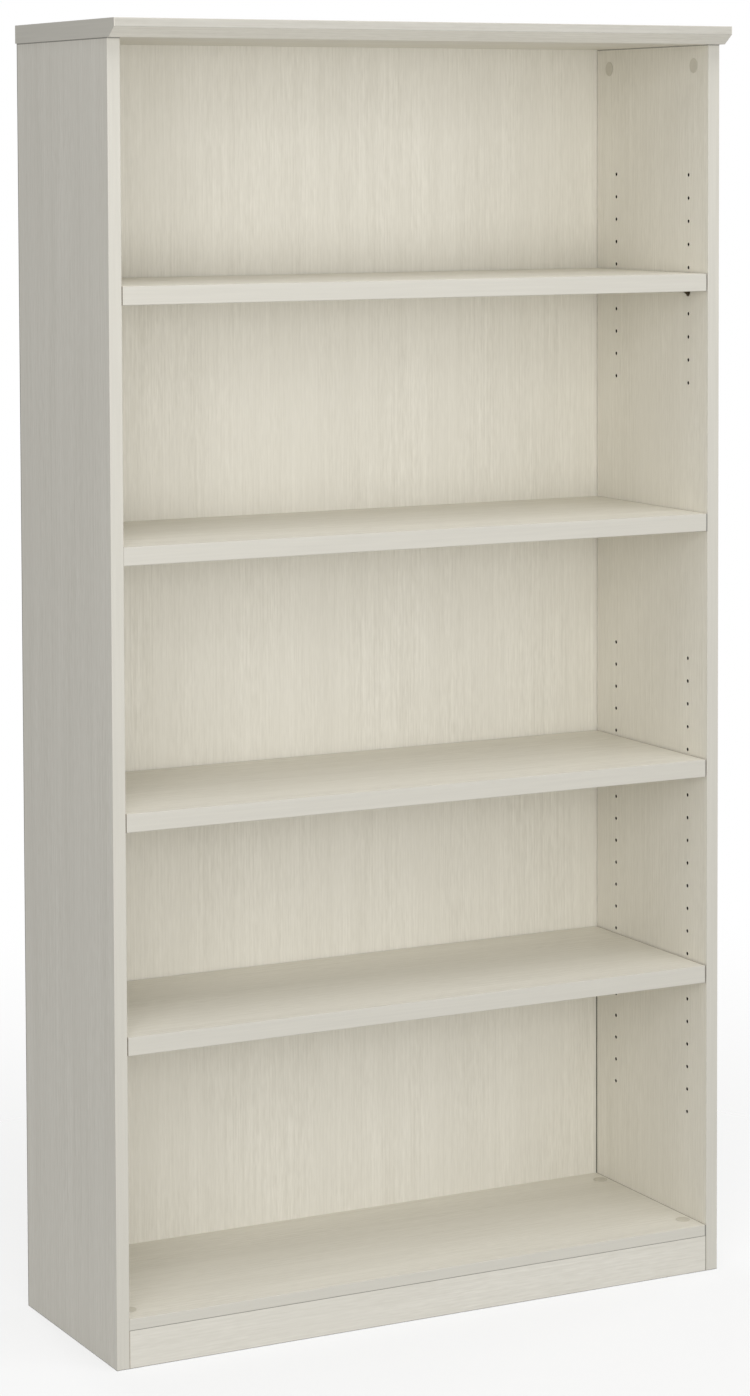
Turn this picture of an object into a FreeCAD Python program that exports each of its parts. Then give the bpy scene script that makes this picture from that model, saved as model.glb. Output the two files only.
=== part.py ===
import FreeCAD, Part
import math
import os

# Open bookcase in laminated particle board: a carcass of two sides, a top, a fixed middle
# shelf, a bottom, a kick board and a back, with three loose shelves on plug-in shelf pins.
# Millimetres. +X is the right-hand side seen from the front, the front faces -Y, +Z is up.
# The origin is on the floor, under the middle of the whole footprint.

Vec = FreeCAD.Vector
RIGHT = Vec(1, 0, 0)
BACKWARD = Vec(0, 1, 0)
UP = Vec(0, 0, 1)
DOWN = Vec(0, 0, -1)

# ---- driving dimensions: the whole bookcase
WIDTH = 914.4
DEPTH = 330.2
HEIGHT = 1727.2

# ---- board thicknesses
TOP_THICK = 24.0
SIDE_THICK = 18.0
SHELF_THICK = 24.0
BOTTOM_THICK = 15.0
KICK_THICK = 15.0
BACK_THICK = 6.0
BAND_THICK = 1.0
BAND_RADIUS = 0.8

# ---- the top: it stands out past the carcass, and its front is undercut by a long bevel
TOP_END_OVERHANG = 2.1
TOP_FRONT_OVERHANG = 28.0
TOP_NOSE_HEIGHT = 11.0
TOP_BEVEL_DEPTH = 18.0
TOP_EDGE_RADIUS = 1.2

# ---- heights of the fixed boards
KICK_HEIGHT = 49.5
FIXED_SHELF_TOP = 1059.5

# ---- the back panel sits in a rabbet along each side
RABBET_WIDTH = 9.0
RABBET_RELIEF = 1.2
BACK_SIDE_CLEARANCE = 1.0
BACK_RECESS = 0.2

# ---- shelf-pin holes: a 32 mm grid in two groups of rows, none beside the fixed shelf
HOLE_PITCH = 32.0
HOLE_RADIUS = 2.5
HOLE_DEPTH = 11.0
FIRST_ROW_HEIGHT = 213.0
LOWER_ROWS = range(0, 21)
UPPER_ROWS = range(32, 42)
HOLE_SETBACKS = {"front": 50.0, "rear": 242.0}
SHELF_ROWS = {"upper": 36, "middle": 15, "lower": 6}

# ---- loose shelves
SHELF_END_GAP = 1.5
SHELF_FRONT_RECESS = 1.0
SHELF_REAR_GAP = 2.0

# ---- shelf pins: a stem in the hole, a tongue against the side and a ledge under the shelf
PIN_STEM_RADIUS = 2.45
PIN_STEM_LENGTH = 9.5
PIN_TONGUE_THICK = 1.5
PIN_TONGUE_HALF_WIDTH = 5.5
PIN_TONGUE_SHOULDER = 1.0
PIN_TONGUE_TIP_RADIUS = 3.2
PIN_TONGUE_TIP_CENTRE = -4.5
PIN_LEDGE_RISE = 1.0
PIN_LEDGE_THICK = 1.8
PIN_LEDGE_LENGTH = 12.0
PIN_LEDGE_TIP_RADIUS = 3.0
PIN_WEB_THICK = 2.0
PIN_WEB_LENGTH = 8.0
PIN_WEB_DROP = 5.5

# ---- knock-down fittings: cam, cam bolt and push-on cover at each end of a board
CAM_SETBACKS = (37.0, 261.0)
CAM_RADIUS = 7.4
CAM_HOLE_RADIUS = 7.5
CAM_SUNK = 0.3
CAM_RECESS_RADIUS = 3.2
CAM_RECESS_DEPTH = 1.7
CAM_CHANNEL_HALF = 3.8
TOP_CAM_INSET = 28.0
BOARD_CAM_INSET = 15.0
COVER_RADIUS = 10.0
COVER_THICK = 1.0
COVER_EDGE_RADIUS = 0.5
COVER_SPIGOT_RADIUS = 3.0
COVER_SPIGOT_LENGTH = 1.4
BOLT_BORE_RADIUS = 3.6
BOLT_HEAD_RADIUS = 3.4
BOLT_HEAD_BEHIND = 3.0
BOLT_HEAD_AHEAD = 1.0
BOLT_NECK_RADIUS = 2.2
BOLT_NECK_END = 4.0
BOLT_SHANK_RADIUS = 3.5
BOLT_THREAD_RADIUS = 2.45
BOLT_THREAD_LENGTH = 10.5
BOLT_HOLE_RADIUS = 2.5
BOLT_HOLE_DEPTH = 11.0

# ---- wooden dowels beside the cams, and at the ends of the kick board
DOWEL_SETBACKS = (90.0, 208.0)
DOWEL_RADIUS = 3.95
DOWEL_HOLE_RADIUS = 4.0
DOWEL_LENGTH = 30.0
DOWEL_CHAMFER = 0.8
DOWEL_FACE_DEPTH = 11.0
DOWEL_END_DEPTH = 20.0
KICK_DOWEL_HEIGHT = 25.0

# ---- screws: countersunk ones in the back, pan heads in the kick brackets
SCREW_RADIUS = 1.75
SCREW_HOLE_RADIUS = 1.8
SCREW_TIP_RADIUS = 0.2
SCREW_HEAD_RADIUS = 3.5
SCREW_HEAD_HEIGHT = 1.8
SCREW_SLOT_WIDTH = 0.8
SCREW_SLOT_DEPTH = 0.9
BACK_SCREW_LENGTH = 20.0
BACK_SCREWS_PER_SIDE = 7
BACK_SCREW_END_MARGIN = 60.0
BACK_SCREW_SPREAD = (-220.0, 0.0, 220.0)
BRACKET_SCREW_LENGTH = 12.0
BRACKET_SPREAD = (-300.0, 0.0, 300.0)
BRACKET_WIDTH = 40.0
BRACKET_LEG = 20.0
BRACKET_THICK = 1.5

# ---- places that follow from the driving dimensions
SIDE_HEIGHT = HEIGHT - TOP_THICK
OUTER_X = WIDTH / 2 - TOP_END_OVERHANG
INNER_X = OUTER_X - SIDE_THICK
TOP_FRONT_Y = -DEPTH / 2
FRONT_Y = TOP_FRONT_Y + TOP_FRONT_OVERHANG
REAR_Y = DEPTH / 2
BACK_REAR_Y = REAR_Y - BACK_RECESS
BACK_FRONT_Y = BACK_REAR_Y - BACK_THICK
BOTTOM_TOP = KICK_HEIGHT + BOTTOM_THICK
FIXED_SHELF_BOTTOM = FIXED_SHELF_TOP - SHELF_THICK
KICK_MIDDLE_Y = FRONT_Y + KICK_THICK / 2
BACK_SCREW_X = INNER_X + RABBET_WIDTH / 2
LOOSE_SHELF_X = (SHELF_END_GAP - INNER_X, INNER_X - SHELF_END_GAP)
LOOSE_SHELF_FRONT_Y = FRONT_Y + SHELF_FRONT_RECESS
LOOSE_SHELF_REAR_Y = BACK_FRONT_Y - SHELF_REAR_GAP

# A cam joint is where its board's face lies, how deep the cam goes in from that face,
# and how far below the face the bolt runs.
TOP_CAM_DEPTH, TOP_BOLT_LINE = 13.0, SIDE_THICK / 2
SHELF_CAM_DEPTH, SHELF_BOLT_LINE = 13.0, 9.0
BOTTOM_CAM_DEPTH, BOTTOM_BOLT_LINE = 12.0, BOTTOM_THICK / 2
FIXED_JOINT_Z = FIXED_SHELF_BOTTOM + SHELF_BOLT_LINE
BOTTOM_JOINT_Z = BOTTOM_TOP - BOTTOM_BOLT_LINE


# ---- helpers

def block(x, y, z):
    """A box from pairs of limits along X, Y and Z."""
    return Part.makeBox(x[1] - x[0], y[1] - y[0], z[1] - z[0], Vec(x[0], y[0], z[0]))


def rod(radius, start, axis, length):
    return Part.makeCylinder(radius, length, start, axis)


def prism(points, along):
    """A closed outline of straight runs, pushed along a vector."""
    return Part.Face(Part.makePolygon(points + points[:1])).extrude(along)


def mirrored(shape):
    """The left-hand twin of a right-hand piece."""
    return shape.mirror(Vec(0, 0, 0), RIGHT)


def pair(shape):
    return [shape, mirrored(shape)]


def placed(shape, origin, axis):
    """A piece drawn along +Z, turned onto an axis and moved to its place."""
    copy = shape.copy()
    copy.Placement = FreeCAD.Placement(origin, FreeCAD.Rotation(UP, axis))
    return copy


def group(shapes):
    """Identical loose solids kept together as one compound."""
    return Part.makeCompound([solid for shape in shapes for solid in shape.Solids])


def edges_at_front(shape, front, along):
    """The straight edges that lie on the plane y = front and run along an axis."""
    found = []
    for edge in shape.Edges:
        first, last = edge.Vertexes[0].Point, edge.Vertexes[-1].Point
        direction = (last - first).normalize()
        on_plane = abs(first.y - front) < 1e-6 and abs(last.y - front) < 1e-6
        if on_plane and abs(abs(direction.dot(along)) - 1) < 1e-6:
            found.append(edge)
    return found


def row_height(row):
    return FIRST_ROW_HEIGHT + HOLE_PITCH * row


# ---- fittings, each drawn with its axis on +Z

def cam(depth, bolt_line):
    """A cam in its blind hole: the board's face is at z = 0, and the bolt enters along +X."""
    body = rod(CAM_RADIUS, Vec(0, 0, -depth), UP, depth - CAM_SUNK)
    recess = rod(CAM_RECESS_RADIUS, Vec(0, 0, -CAM_SUNK - CAM_RECESS_DEPTH), UP, depth)
    channel = block((-CAM_CHANNEL_HALF, CAM_HOLE_RADIUS + 1), (-CAM_CHANNEL_HALF, CAM_CHANNEL_HALF),
                    (-bolt_line - CAM_CHANNEL_HALF, -bolt_line + CAM_CHANNEL_HALF))
    return body.cut(recess).cut(channel)


def cam_bolt(inset):
    """A bolt from the cam's centre, z = 0, through the board's end and into the next board."""
    head = rod(BOLT_HEAD_RADIUS, Vec(0, 0, -BOLT_HEAD_BEHIND), UP, BOLT_HEAD_BEHIND + BOLT_HEAD_AHEAD)
    neck = rod(BOLT_NECK_RADIUS, Vec(0, 0, 0), UP, BOLT_NECK_END)
    shank = rod(BOLT_SHANK_RADIUS, Vec(0, 0, BOLT_NECK_END), UP, inset - BOLT_NECK_END)
    thread = rod(BOLT_THREAD_RADIUS, Vec(0, 0, inset - 1), UP, BOLT_THREAD_LENGTH + 1)
    return head.fuse([neck, shank, thread]).removeSplitter()


def cam_cover():
    """A push-on cover: a thin disc on the board's face and a spigot in the cam's recess."""
    disc = rod(COVER_RADIUS, Vec(0, 0, 0), UP, COVER_THICK)
    rim = [edge for edge in disc.Edges if edge.Length > COVER_RADIUS and edge.BoundBox.ZMin > COVER_THICK / 2]
    disc = disc.makeFillet(COVER_EDGE_RADIUS, rim)
    spigot_height = COVER_SPIGOT_LENGTH + COVER_THICK / 2
    spigot = rod(COVER_SPIGOT_RADIUS, Vec(0, 0, -COVER_SPIGOT_LENGTH), UP, spigot_height)
    return disc.fuse(spigot).removeSplitter()


def dowel():
    """A dowel that touches the floor of its hole in the first board and points along +Z."""
    body = rod(DOWEL_RADIUS, Vec(0, 0, -DOWEL_FACE_DEPTH), UP, DOWEL_LENGTH)
    ends = [edge for edge in body.Edges if abs(edge.BoundBox.ZLength) < 1e-6]
    return body.makeChamfer(DOWEL_CHAMFER, ends)


def cross_slots(top):
    """The cross in a screw's head."""
    reach, half = SCREW_HEAD_RADIUS * 0.6, SCREW_SLOT_WIDTH / 2
    depth = (top - SCREW_SLOT_DEPTH, top + 1)
    return block((-reach, reach), (-half, half), depth).fuse(block((-half, half), (-reach, reach), depth))


def screw_shank(length, top):
    """A plain shank from z = top down to a point at -length."""
    shank = rod(SCREW_RADIUS, Vec(0, 0, SCREW_RADIUS - length), UP, length - SCREW_RADIUS + top)
    point = Part.makeCone(SCREW_TIP_RADIUS, SCREW_RADIUS, SCREW_RADIUS, Vec(0, 0, -length), UP)
    return [shank, point]


def countersunk_screw(length):
    """A screw whose flat head is level with z = 0 and whose point goes down to -length."""
    head_bottom = Vec(0, 0, -SCREW_HEAD_HEIGHT)
    head = Part.makeCone(SCREW_RADIUS, SCREW_HEAD_RADIUS, SCREW_HEAD_HEIGHT, head_bottom, UP)
    return head.fuse(screw_shank(length, -SCREW_HEAD_HEIGHT / 2)).removeSplitter().cut(cross_slots(0))


def countersunk_hole(length):
    """The hole for that screw, with its countersink."""
    clearance = SCREW_HOLE_RADIUS - SCREW_RADIUS
    sink = Part.makeCone(SCREW_HOLE_RADIUS, SCREW_HEAD_RADIUS + clearance, SCREW_HEAD_HEIGHT,
                         Vec(0, 0, -SCREW_HEAD_HEIGHT), UP)
    return sink.fuse(rod(SCREW_HOLE_RADIUS, Vec(0, 0, -length), UP, length))


def pan_screw(length):
    """A screw whose rounded head sits on z = 0 and whose point goes down to -length."""
    head = rod(SCREW_HEAD_RADIUS, Vec(0, 0, 0), UP, SCREW_HEAD_HEIGHT)
    rim = [edge for edge in head.Edges if edge.BoundBox.ZMin > SCREW_HEAD_HEIGHT / 2]
    head = head.makeFillet(SCREW_HEAD_HEIGHT / 2, rim)
    shank = screw_shank(length, SCREW_HEAD_HEIGHT / 2)
    return head.fuse(shank).removeSplitter().cut(cross_slots(SCREW_HEAD_HEIGHT))


# ---- where the fittings go; each list is for the right-hand end and is mirrored

def setback(distance):
    return FRONT_Y + distance


def top_cam_places():
    return [Vec(INNER_X, setback(y), SIDE_HEIGHT - TOP_CAM_INSET) for y in CAM_SETBACKS]


def board_cam_places(face_z):
    return [Vec(INNER_X - BOARD_CAM_INSET, setback(y), face_z) for y in CAM_SETBACKS]


def side_joint_places(setbacks, z):
    return [Vec(INNER_X, setback(y), z) for y in setbacks]


def back_screw_places():
    """Points on the back's rear face: down both sides, and into the fixed shelf and the bottom."""
    low, high = KICK_HEIGHT + BACK_SCREW_END_MARGIN, SIDE_HEIGHT - BACK_SCREW_END_MARGIN
    step = (high - low) / (BACK_SCREWS_PER_SIDE - 1)
    heights = [low + step * index for index in range(BACK_SCREWS_PER_SIDE)]
    places = [Vec(side * BACK_SCREW_X, BACK_REAR_Y, z) for side in (-1, 1) for z in heights]
    for z in (FIXED_SHELF_TOP - SHELF_THICK / 2, BOTTOM_JOINT_Z):
        places += [Vec(x, BACK_REAR_Y, z) for x in BACK_SCREW_SPREAD]
    return places


def back_screw_holes():
    return [placed(countersunk_hole(BACK_SCREW_LENGTH + 1), place, BACKWARD) for place in back_screw_places()]


def bracket_screw_places():
    """Each bracket has one screw into the kick board and one up into the bottom."""
    leg_middle = BRACKET_LEG / 2 + BRACKET_THICK / 2
    kick_face = FRONT_Y + KICK_THICK + BRACKET_THICK
    places = []
    for x in BRACKET_SPREAD:
        places.append((Vec(x, kick_face, KICK_HEIGHT - leg_middle), BACKWARD))
        places.append((Vec(x, FRONT_Y + KICK_THICK + leg_middle, KICK_HEIGHT - BRACKET_THICK), DOWN))
    return places


def bracket_screw_holes():
    return [rod(SCREW_HOLE_RADIUS, place, axis * -1, BRACKET_SCREW_LENGTH + 1) for place, axis in
            bracket_screw_places()]


# ---- drilling the boards

def pin_holes():
    holes = []
    for row in [*LOWER_ROWS, *UPPER_ROWS]:
        for distance in HOLE_SETBACKS.values():
            start = Vec(INNER_X - 1, setback(distance), row_height(row))
            holes.append(rod(HOLE_RADIUS, start, RIGHT, HOLE_DEPTH + 1))
    return holes


def side_fitting_holes():
    """Cam, bolt and dowel holes in the right-hand side."""
    holes = [rod(CAM_HOLE_RADIUS, place, RIGHT, TOP_CAM_DEPTH) for place in top_cam_places()]
    end_x = INNER_X + TOP_BOLT_LINE
    for y in CAM_SETBACKS:
        holes.append(rod(BOLT_BORE_RADIUS, Vec(end_x, setback(y), SIDE_HEIGHT), DOWN, TOP_CAM_INSET))
    for y in DOWEL_SETBACKS:
        holes.append(rod(DOWEL_HOLE_RADIUS, Vec(end_x, setback(y), SIDE_HEIGHT), DOWN, DOWEL_END_DEPTH))
    for z in (FIXED_JOINT_Z, BOTTOM_JOINT_Z):
        for place in side_joint_places(CAM_SETBACKS, z):
            holes.append(rod(BOLT_HOLE_RADIUS, place, RIGHT, BOLT_HOLE_DEPTH))
        for place in side_joint_places(DOWEL_SETBACKS, z):
            holes.append(rod(DOWEL_HOLE_RADIUS, place, RIGHT, DOWEL_FACE_DEPTH))
    kick_end = Vec(INNER_X, KICK_MIDDLE_Y, KICK_DOWEL_HEIGHT)
    holes.append(rod(DOWEL_HOLE_RADIUS, kick_end, RIGHT, DOWEL_FACE_DEPTH))
    return holes


def board_end_holes(face_z, into_board, cam_depth, joint_z):
    """Cam, bolt and dowel holes at both ends of a board between the sides."""
    holes = []
    for place in board_cam_places(face_z):
        holes += pair(rod(CAM_HOLE_RADIUS, place, into_board, cam_depth))
        bolt_start = Vec(place.x, place.y, joint_z)
        holes += pair(rod(BOLT_BORE_RADIUS, bolt_start, RIGHT, BOARD_CAM_INSET))
    for place in side_joint_places(DOWEL_SETBACKS, joint_z):
        holes += pair(rod(DOWEL_HOLE_RADIUS, place, RIGHT * -1, DOWEL_END_DEPTH))
    return holes


# ---- the boards

def front_band(x, front, z, along):
    """An edge band with its two long front corners rounded over."""
    band = block(x, (front, front + BAND_THICK), z)
    return band.makeFillet(BAND_RADIUS, edges_at_front(band, front, along))


def right_side():
    panel = block((INNER_X, OUTER_X), (FRONT_Y + BAND_THICK, REAR_Y), (0, SIDE_HEIGHT))
    rabbet = block((INNER_X, INNER_X + RABBET_WIDTH), (BACK_FRONT_Y, REAR_Y), (0, SIDE_HEIGHT))
    shoulder = Vec(INNER_X, BACK_FRONT_Y, 0)
    relief = prism([shoulder, shoulder + RIGHT * RABBET_RELIEF, shoulder - BACKWARD * RABBET_RELIEF],
                   UP * SIDE_HEIGHT)
    return panel.cut([rabbet, relief] + pin_holes() + side_fitting_holes() + back_screw_holes())


def right_side_band():
    return front_band((INNER_X, OUTER_X), FRONT_Y, (0, SIDE_HEIGHT), UP)


def top_profile(x, length):
    """The top's cross-section, pushed along X: upright nose, long bevel under it, flat rest."""
    nose_z = HEIGHT - TOP_NOSE_HEIGHT
    bevel_end_y = TOP_FRONT_Y + TOP_BEVEL_DEPTH
    outline = [Vec(x, REAR_Y, SIDE_HEIGHT), Vec(x, bevel_end_y, SIDE_HEIGHT), Vec(x, TOP_FRONT_Y, nose_z),
               Vec(x, TOP_FRONT_Y, HEIGHT), Vec(x, REAR_Y, HEIGHT)]
    solid = prism(outline, RIGHT * length)
    return solid.makeFillet(TOP_EDGE_RADIUS, edges_at_front(solid, TOP_FRONT_Y, RIGHT))


def top_panel():
    half = WIDTH / 2 - BAND_THICK
    holes = []
    for y in CAM_SETBACKS:
        start = Vec(INNER_X + TOP_BOLT_LINE, setback(y), SIDE_HEIGHT)
        holes += pair(rod(BOLT_HOLE_RADIUS, start, UP, BOLT_HOLE_DEPTH))
    for y in DOWEL_SETBACKS:
        start = Vec(INNER_X + TOP_BOLT_LINE, setback(y), SIDE_HEIGHT)
        holes += pair(rod(DOWEL_HOLE_RADIUS, start, UP, DOWEL_FACE_DEPTH))
    return top_profile(-half, 2 * half).cut(holes)


def top_right_end_band():
    return top_profile(WIDTH / 2 - BAND_THICK, BAND_THICK)


def board_between_sides(z_low, z_high):
    return block((-INNER_X, INNER_X), (FRONT_Y + BAND_THICK, BACK_FRONT_Y), (z_low, z_high))


def fixed_shelf():
    board = board_between_sides(FIXED_SHELF_BOTTOM, FIXED_SHELF_TOP)
    holes = board_end_holes(FIXED_SHELF_BOTTOM, UP, SHELF_CAM_DEPTH, FIXED_JOINT_Z)
    return board.cut(holes + back_screw_holes())


def bottom_panel():
    board = board_between_sides(KICK_HEIGHT, BOTTOM_TOP)
    holes = board_end_holes(BOTTOM_TOP, DOWN, BOTTOM_CAM_DEPTH, BOTTOM_JOINT_Z)
    return board.cut(holes + back_screw_holes() + bracket_screw_holes())


def kick_board():
    board = block((-INNER_X, INNER_X), (FRONT_Y, FRONT_Y + KICK_THICK), (0, KICK_HEIGHT))
    end = Vec(INNER_X, KICK_MIDDLE_Y, KICK_DOWEL_HEIGHT)
    return board.cut(pair(rod(DOWEL_HOLE_RADIUS, end, RIGHT * -1, DOWEL_END_DEPTH)) + bracket_screw_holes())


def back_panel():
    half = INNER_X + RABBET_WIDTH - BACK_SIDE_CLEARANCE
    board = block((-half, half), (BACK_FRONT_Y, BACK_REAR_Y), (KICK_HEIGHT, SIDE_HEIGHT))
    return board.cut(back_screw_holes())


def board_band(z_low, z_high):
    return front_band((-INNER_X, INNER_X), FRONT_Y, (z_low, z_high), RIGHT)


def loose_shelf_z(name):
    bottom = row_height(SHELF_ROWS[name]) + PIN_LEDGE_RISE
    return bottom, bottom + SHELF_THICK


def loose_shelf(name):
    y = (LOOSE_SHELF_FRONT_Y + BAND_THICK, LOOSE_SHELF_REAR_Y)
    return block(LOOSE_SHELF_X, y, loose_shelf_z(name))


def loose_shelf_band(name):
    return front_band(LOOSE_SHELF_X, LOOSE_SHELF_FRONT_Y, loose_shelf_z(name), RIGHT)


# ---- shelf pins

def pin_tongue():
    """The tongue against the side: straight shoulders that taper to a round tip."""
    corner = Vec(0, PIN_TONGUE_HALF_WIDTH, -PIN_TONGUE_SHOULDER)
    tip = Vec(0, 0, PIN_TONGUE_TIP_CENTRE)
    reach = corner - tip
    turn = math.acos(PIN_TONGUE_TIP_RADIUS / reach.Length)
    angle = math.atan2(reach.z, reach.y) - turn
    touch = tip + Vec(0, math.cos(angle), math.sin(angle)) * PIN_TONGUE_TIP_RADIUS
    lowest = tip + DOWN * PIN_TONGUE_TIP_RADIUS

    def other(point):
        return Vec(point.x, -point.y, point.z)

    top = Vec(0, PIN_TONGUE_HALF_WIDTH, PIN_LEDGE_RISE)
    runs = [(other(touch), other(corner)), (other(corner), other(top)), (other(top), top), (top, corner),
            (corner, touch)]
    edges = [Part.makeLine(start, end) for start, end in runs]
    edges.append(Part.Arc(touch, lowest, other(touch)).toShape())
    return Part.Face(Part.Wire(Part.__sortEdges__(edges))).extrude(RIGHT * -PIN_TONGUE_THICK)


def shelf_pin():
    """A right-hand pin with its hole's centre, on the side's face, at the origin.

    The ledge's flat top runs on along the stem, so the pin slides out below its shelf.
    """
    flat = block((0, PIN_STEM_LENGTH), (-PIN_STEM_RADIUS, PIN_STEM_RADIUS), (PIN_LEDGE_RISE, PIN_STEM_RADIUS))
    stem = rod(PIN_STEM_RADIUS, Vec(0, 0, 0), RIGHT, PIN_STEM_LENGTH).cut(flat)
    ledge_low = PIN_LEDGE_RISE - PIN_LEDGE_THICK
    root_x = -PIN_TONGUE_THICK
    ledge = block((root_x - PIN_LEDGE_LENGTH, 0), (-PIN_TONGUE_HALF_WIDTH, PIN_TONGUE_HALF_WIDTH),
                  (ledge_low, PIN_LEDGE_RISE))
    tip_corners = [edge for edge in ledge.Edges if edge.BoundBox.XMax < root_x and edge.BoundBox.ZLength > 1]
    ledge = ledge.makeFillet(PIN_LEDGE_TIP_RADIUS, tip_corners)
    half = PIN_WEB_THICK / 2
    web = prism([Vec(0, -half, ledge_low), Vec(root_x - PIN_WEB_LENGTH, -half, ledge_low),
                 Vec(root_x, -half, ledge_low - PIN_WEB_DROP), Vec(0, -half, ledge_low - PIN_WEB_DROP)],
                BACKWARD * PIN_WEB_THICK)
    return stem.fuse([pin_tongue(), ledge, web]).removeSplitter()


def all_shelf_pins():
    pins = {}
    for shelf, row in SHELF_ROWS.items():
        for column, distance in HOLE_SETBACKS.items():
            pin = shelf_pin()
            pin.translate(Vec(INNER_X, setback(distance), row_height(row)))
            pins[shelf + "_pin_right_" + column] = pin
            pins[shelf + "_pin_left_" + column] = mirrored(pin)
    return pins


# ---- groups of fittings

def right_and_left(shapes):
    return group([twin for shape in shapes for twin in pair(shape)])


def side_facing_cam(place):
    """A cam in the side's inner face, whose bolt runs up to the top."""
    turned = cam(TOP_CAM_DEPTH, TOP_BOLT_LINE)
    turned.rotate(Vec(0, 0, 0), Vec(0, 1, 0), -90)
    turned.translate(place)
    return turned


def board_cam(place, outward, depth, bolt_line):
    """A cam in the top or underside of a board, whose bolt runs to the side."""
    fitted = cam(depth, bolt_line)
    if outward.z < 0:
        fitted.rotate(Vec(0, 0, 0), RIGHT, 180)
    fitted.translate(place)
    return fitted


def top_fittings():
    places = top_cam_places()
    bolts = [placed(cam_bolt(TOP_CAM_INSET), place + RIGHT * TOP_BOLT_LINE, UP) for place in places]
    dowel_places = [Vec(INNER_X + TOP_BOLT_LINE, setback(y), SIDE_HEIGHT) for y in DOWEL_SETBACKS]
    return {
        "top_cams": right_and_left([side_facing_cam(place) for place in places]),
        "top_cam_bolts": right_and_left(bolts),
        "top_cam_covers": right_and_left([placed(cam_cover(), place, RIGHT * -1) for place in places]),
        "top_dowels": right_and_left([placed(dowel(), place, DOWN) for place in dowel_places]),
    }


def board_fittings(name, face_z, outward, depth, bolt_line):
    """Cams, bolts, covers and dowels for a board between the sides."""
    places = board_cam_places(face_z)
    joint_z = face_z - outward.z * bolt_line
    bolts = [placed(cam_bolt(BOARD_CAM_INSET), place - outward * bolt_line, RIGHT) for place in places]
    dowels = [placed(dowel(), place, RIGHT * -1) for place in side_joint_places(DOWEL_SETBACKS, joint_z)]
    return {
        name + "_cams": right_and_left([board_cam(place, outward, depth, bolt_line) for place in places]),
        name + "_cam_bolts": right_and_left(bolts),
        name + "_cam_covers": right_and_left([placed(cam_cover(), place, outward) for place in places]),
        name + "_dowels": right_and_left(dowels),
    }


def kick_bracket(x):
    """A steel angle in the corner behind the kick board, under the bottom."""
    width = (x - BRACKET_WIDTH / 2, x + BRACKET_WIDTH / 2)
    corner_y = FRONT_Y + KICK_THICK
    upright = block(width, (corner_y, corner_y + BRACKET_THICK), (KICK_HEIGHT - BRACKET_LEG, KICK_HEIGHT))
    flat = block(width, (corner_y, corner_y + BRACKET_LEG), (KICK_HEIGHT - BRACKET_THICK, KICK_HEIGHT))
    return upright.fuse(flat).removeSplitter().cut(bracket_screw_holes())


def kick_fittings():
    ends = [placed(dowel(), Vec(INNER_X, KICK_MIDDLE_Y, KICK_DOWEL_HEIGHT), RIGHT * -1)]
    screws = [placed(pan_screw(BRACKET_SCREW_LENGTH), place, axis) for place, axis in bracket_screw_places()]
    return {
        "kick_dowels": right_and_left(ends),
        "kick_brackets": group([kick_bracket(x) for x in BRACKET_SPREAD]),
        "kick_bracket_screws": group(screws),
    }


def back_screws():
    screw = countersunk_screw(BACK_SCREW_LENGTH)
    return group([placed(screw, place, BACKWARD) for place in back_screw_places()])


# ---- every piece by name

def bookcase():
    side, side_band, end_band = right_side(), right_side_band(), top_right_end_band()
    pieces = {
        "top_panel": top_panel(),
        "top_right_end_band": end_band,
        "top_left_end_band": mirrored(end_band),
        "right_side": side,
        "left_side": mirrored(side),
        "right_side_band": side_band,
        "left_side_band": mirrored(side_band),
        "fixed_shelf": fixed_shelf(),
        "fixed_shelf_band": board_band(FIXED_SHELF_BOTTOM, FIXED_SHELF_TOP),
        "bottom_panel": bottom_panel(),
        "bottom_band": board_band(KICK_HEIGHT, BOTTOM_TOP),
        "kick_board": kick_board(),
        "back_panel": back_panel(),
        "back_screws": back_screws(),
    }
    for name in SHELF_ROWS:
        pieces[name + "_shelf"] = loose_shelf(name)
        pieces[name + "_shelf_band"] = loose_shelf_band(name)
    pieces.update(all_shelf_pins())
    pieces.update(top_fittings())
    pieces.update(board_fittings("fixed_shelf", FIXED_SHELF_BOTTOM, DOWN, SHELF_CAM_DEPTH, SHELF_BOLT_LINE))
    pieces.update(board_fittings("bottom", BOTTOM_TOP, UP, BOTTOM_CAM_DEPTH, BOTTOM_BOLT_LINE))
    pieces.update(kick_fittings())
    return pieces


os.makedirs("parts", exist_ok=True)
for node, shape in bookcase().items():
    shape.exportStep("parts/" + node + ".step")
    state = "valid" if shape.isValid() else "INVALID"
    print(node, len(shape.Solids), "solid(s)", round(shape.Volume), "mm3", state)
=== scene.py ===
"""Finishes, shelf pins, cam covers and studio for the bookcase with adjustable shelves."""

import math

import bmesh
import bpy
from mathutils import Matrix, Vector


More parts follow.
